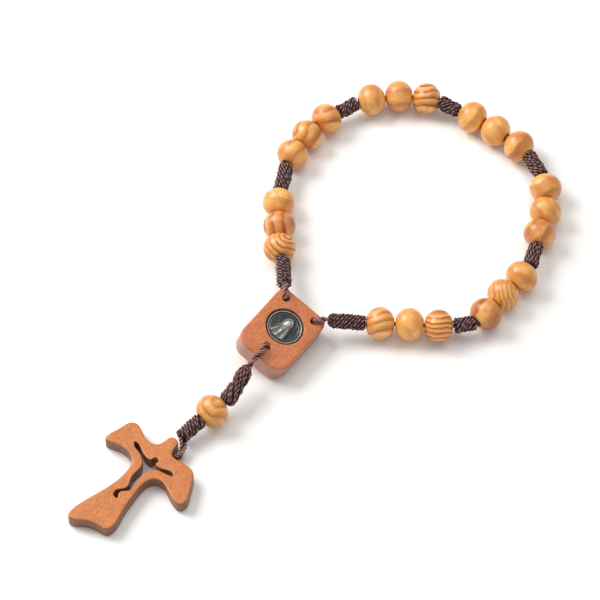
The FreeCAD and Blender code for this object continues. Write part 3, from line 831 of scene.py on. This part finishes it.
def paint_wall(piece, up):
    """Mark how far each point's surface turns away from the face."""
    values = []
    for vertex in piece.data.vertices:
        tilt = abs(vertex.normal.dot(up))
        values.append(max(0.0, min(1.0, (0.72 - tilt) / 0.45)))
    paint_points(piece, "wall", values)


def make_block():
    piece = copy_of("centre_block", "block_body")
    remesh(piece)
    soften(piece, lambda place: SANDED)
    paint_wall(piece, BLOCK_TURN @ Vector((0, 0, 1)))
    wood = fine_wood("block_wood", light=(0.66, 0.198, 0.046), dark=(0.43, 0.108, 0.023),
                     grain=BLOCK_TURN @ Vector((1, 0, 0)), stretch=0.5, roughness=0.42, coat=0.25,
                     wall=(0.46, 0.20, 0.128))
    piece.data.materials.append(wood)
    settle(piece, "block", ("centre_block",))


def in_figure_zone(place):
    """Whether a point of the cross is nearer to the cut-out figure than to the cross's outline."""
    x, y, _ = (CROSS_TURN.inverted() @ (place - CROSS_FOOT)) / MM
    body = abs(x) < 1.9 and 8.8 < y < 20.6
    arms = abs(x) < 7.6 and 20.5 < y < 24.3
    return body or arms


def make_cross():
    piece = copy_of("cross", "cross_body")
    remesh(piece)
    soften(piece, lambda place: CUT_OUT_EDGE if in_figure_zone(place) else ROUNDED)
    paint_wall(piece, Vector((0, 0, 1)))
    wood = fine_wood("cross_wood", light=(0.62, 0.205, 0.034), dark=(0.42, 0.120, 0.018),
                     grain=CROSS_TURN @ Vector((1, 0, 0)), stretch=0.3, roughness=0.45, coat=0.2,
                     wall=(0.20, 0.072, 0.030))
    piece.data.materials.append(wood)
    settle(piece, "cross", ("cross",))


def dome(distance):
    """A round swelling: 1 in the middle, 0 from distance 1 outwards."""
    return math.sqrt(max(0.0, 1 - distance * distance))


def ridge(value, place, width):
    """A soft ridge: 1 at its place, falling to nothing within about two widths of it."""
    return math.exp(-((value - place) / width) ** 2)


def medal_height(x, y):
    """The relief's height in mm: a rim, an inner line, and a veiled half-length figure."""
    r = math.hypot(x, y)
    height = 0.30 * min(1.0, max(0.0, (r - 3.66) / 0.16)) + 0.09 * ridge(r, 3.34, 0.09)
    if r > 3.22:
        return height
    x, y = x / 1.5, y / 1.5 - 0.05
    width = 0.98 + 0.36 * max(0.0, 0.45 - y) ** 1.1
    mantle = 0.40 * dome(x / width) if y < 0.55 else 0.0
    folds = 0.10 * math.sin(11 * (x - 0.2 * y) / width) * (mantle > 0) * min(1.0, max(0.0, 0.25 - y))
    veil = 0.60 * dome(math.hypot(x / 0.92, (y - 0.78) / 1.12))
    veil += 0.05 * ridge(math.hypot(x / 0.76, (y - 0.74) / 0.96), 1.0, 0.07) * (veil > 0)
    face_place = math.hypot((x + 0.06) / 0.48, (y - 0.66) / 0.66)
    face = 0.0
    if face_place < 1.25:
        face = 0.14 * dome(min(1.0, face_place)) - 0.15 * ridge(face_place, 1.08, 0.16)
        face += 0.045 * ridge(x, -0.06, 0.06) * ridge(y, 0.62, 0.15)
        face -= 0.04 * (ridge(x, -0.25, 0.07) + ridge(x, 0.13, 0.07)) * ridge(y, 0.78, 0.05)
        face -= 0.03 * ridge(x, -0.06, 0.1) * ridge(y, 0.36, 0.03)
    halo = 0.10 * ridge(math.hypot(x, y - 0.78), 1.45, 0.06)
    hands = 0.22 * dome(math.hypot((x + 0.10 + 0.3 * (y + 0.75)) / 0.22, (y + 0.75) / 0.5))
    return height + max(mantle + folds, veil + face, halo) + hands


def medal_shine(x, y):
    """How far wear has brightened the metal: the rim, the inner line and the relief's high places."""
    r = math.hypot(x, y)
    if r > 3.2:
        return max(0.62 * ridge(r, 3.88, 0.14), 0.5 * ridge(r, 3.34, 0.07))
    return medal_height(x, y) / 0.8


MEDAL_RADIUS = 4.45
MEDAL_BASE = 0.72                # the disc's thickness under the relief
DRAWN_RADIUS = 4.2               # that medal_height and medal_shine are drawn for
MEDAL_RINGS, MEDAL_SIDES = 96, 200
MEDAL_EDGE = 0.1                 # how high its rounded back edge is, and how far its front edge comes in


def make_medal():
    """A disc whose face is a fine polar grid lifted by the relief."""
    scale = DRAWN_RADIUS / MEDAL_RADIUS
    turns = [math.tau * j / MEDAL_SIDES for j in range(MEDAL_SIDES)]
    vertices, relief = [Vector((0, 0, MEDAL_BASE + medal_height(0, 0)))], [medal_shine(0, 0)]
    for i in range(1, MEDAL_RINGS + 1):
        r = MEDAL_RADIUS * i / MEDAL_RINGS
        wear_and_painted_highlight = 0.08 * max(0.0, (r - MEDAL_RADIUS + MEDAL_EDGE) / MEDAL_EDGE)
        for turn in turns:
            x, y = r * math.cos(turn), r * math.sin(turn)
            vertices.append(Vector((x, y, MEDAL_BASE + medal_height(x * scale, y * scale) - wear_and_painted_highlight)))
            relief.append(medal_shine(x * scale, y * scale))
    for r, z in ((MEDAL_RADIUS, MEDAL_EDGE), (MEDAL_RADIUS - 0.06, 0.0)):
        for turn in turns:
            vertices.append(Vector((r * math.cos(turn), r * math.sin(turn), z)))
            relief.append(0.1)
    faces = [(0, 1 + j, 1 + (j + 1) % MEDAL_SIDES) for j in range(MEDAL_SIDES)]
    for i in range(MEDAL_RINGS + 1):
        row, after_row = 1 + i * MEDAL_SIDES, 1 + (i + 1) * MEDAL_SIDES
        for j in range(MEDAL_SIDES):
            k = (j + 1) % MEDAL_SIDES
            faces.append((row + j, after_row + j, after_row + k, row + k))
    bottom = 1 + (MEDAL_RINGS + 1) * MEDAL_SIDES
    faces.append(tuple(bottom + j for j in reversed(range(MEDAL_SIDES))))
    turn = BLOCK_TURN @ Matrix.Rotation(math.radians(-6), 3, "Z")
    seat = on_block(0, 1.2, -1.45)
    placed = [turn @ (v * MM) + seat for v in vertices]
    piece = new_piece("medal_relief", placed, faces, medal_material(), "block", ("medal",))
    paint_points(piece, "relief", relief)


make_camera()
make_lights()
make_floor()
TWINE = twine_material()
cords = loop_cords()
loop_eyes()
pendant_cords()
back_runs()
stopper_knot()
make_knots()
make_beads()
make_block()
make_medal()
make_cross()
